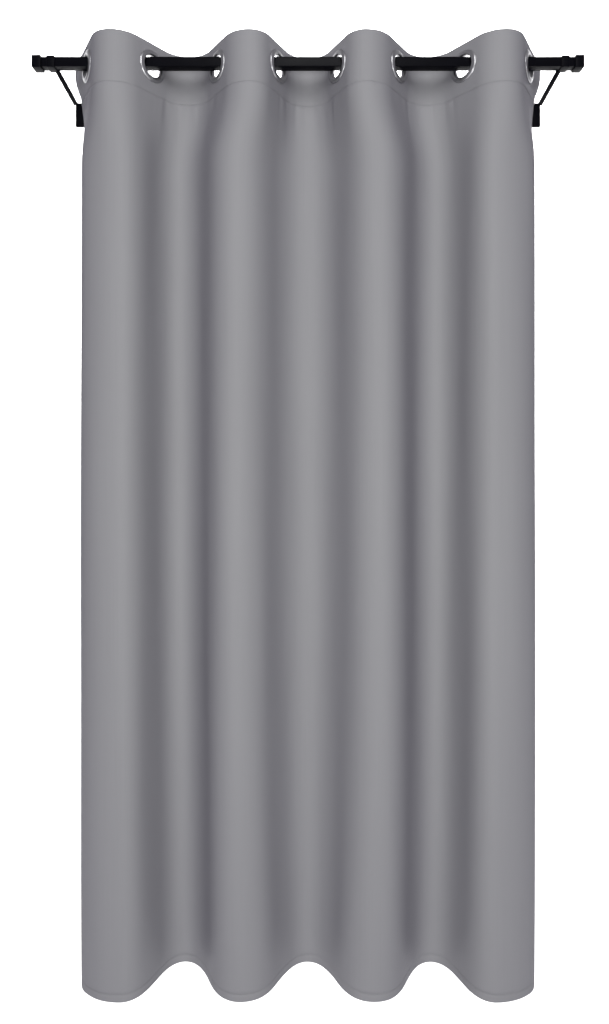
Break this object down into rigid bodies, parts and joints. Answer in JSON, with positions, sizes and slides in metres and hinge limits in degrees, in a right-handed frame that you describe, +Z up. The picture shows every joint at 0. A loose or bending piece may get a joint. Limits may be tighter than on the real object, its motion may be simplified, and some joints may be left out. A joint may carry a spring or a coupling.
{
  "type": "fabric room curtain panel",
  "caption": "Eyelet-top curtain panel in plain grey woven cloth, hanging in soft vertical folds, with metal rings in a stiffened header.",
  "frame": {"origin": "on the common axis of the eyelets, midway between the first and the last, where the curtain pole runs", "axes": "+X along the pole to the right as seen from the room, +Y away from the room towards the window, +Z up"},
  "size_m": [0.9696, 0.1166, 1.83],
  "materials": {
    "cloth": "satin",
    "stiffener": "matte",
    "thread": "satin",
    "eyelet_metal": "polished"
  },
  "bodies": {
    "panel": {"panel_cloth": "cloth", "header_stiffener": "stiffener", "header_stitching": "thread", "bottom_hem_stitching": "thread", "left_side_hem_stitching": "thread", "right_side_hem_stitching": "thread", "eyelet_1_front": "eyelet_metal", "eyelet_1_back": "eyelet_metal"},
    "eyelet_2": {"eyelet_2_front": "eyelet_metal", "eyelet_2_back": "eyelet_metal"},
    "eyelet_3": {"eyelet_3_front": "eyelet_metal", "eyelet_3_back": "eyelet_metal"},
    "eyelet_4": {"eyelet_4_front": "eyelet_metal", "eyelet_4_back": "eyelet_metal"},
    "eyelet_5": {"eyelet_5_front": "eyelet_metal", "eyelet_5_back": "eyelet_metal"},
    "eyelet_6": {"eyelet_6_front": "eyelet_metal", "eyelet_6_back": "eyelet_metal"},
    "eyelet_7": {"eyelet_7_front": "eyelet_metal", "eyelet_7_back": "eyelet_metal"},
    "eyelet_8": {"eyelet_8_front": "eyelet_metal", "eyelet_8_back": "eyelet_metal"}
  },
  "joints": [
    {"name": "draw", "type": "slide", "parent": "panel", "child": "eyelet_8", "axis": [1, 0, 0], "range_m": [-0.519, 0], "deforming": ["panel_cloth", "header_stiffener", "header_stitching", "bottom_hem_stitching", "left_side_hem_stitching", "right_side_hem_stitching"]},
    {"name": "eyelet_2_slide", "type": "slide", "parent": "panel", "child": "eyelet_2", "axis": [1, 0, 0], "range_m": [-0.077, 0]},
    {"name": "eyelet_3_slide", "type": "slide", "parent": "panel", "child": "eyelet_3", "axis": [1, 0, 0], "range_m": [-0.1529, 0]},
    {"name": "eyelet_4_slide", "type": "slide", "parent": "panel", "child": "eyelet_4", "axis": [1, 0, 0], "range_m": [-0.2252, 0]},
    {"name": "eyelet_5_slide", "type": "slide", "parent": "panel", "child": "eyelet_5", "axis": [1, 0, 0], "range_m": [-0.2941, 0]},
    {"name": "eyelet_6_slide", "type": "slide", "parent": "panel", "child": "eyelet_6", "axis": [1, 0, 0], "range_m": [-0.3664, 0]},
    {"name": "eyelet_7_slide", "type": "slide", "parent": "panel", "child": "eyelet_7", "axis": [1, 0, 0], "range_m": [-0.4423, 0]}
  ],
  "couplings": [
    {"joint": "eyelet_2_slide", "follows": "draw", "ratio": 0.14801},
    {"joint": "eyelet_3_slide", "follows": "draw", "ratio": 0.2943},
    {"joint": "eyelet_4_slide", "follows": "draw", "ratio": 0.43353},
    {"joint": "eyelet_5_slide", "follows": "draw", "ratio": 0.56647},
    {"joint": "eyelet_6_slide", "follows": "draw", "ratio": 0.7057},
    {"joint": "eyelet_7_slide", "follows": "draw", "ratio": 0.85199}
  ]
}
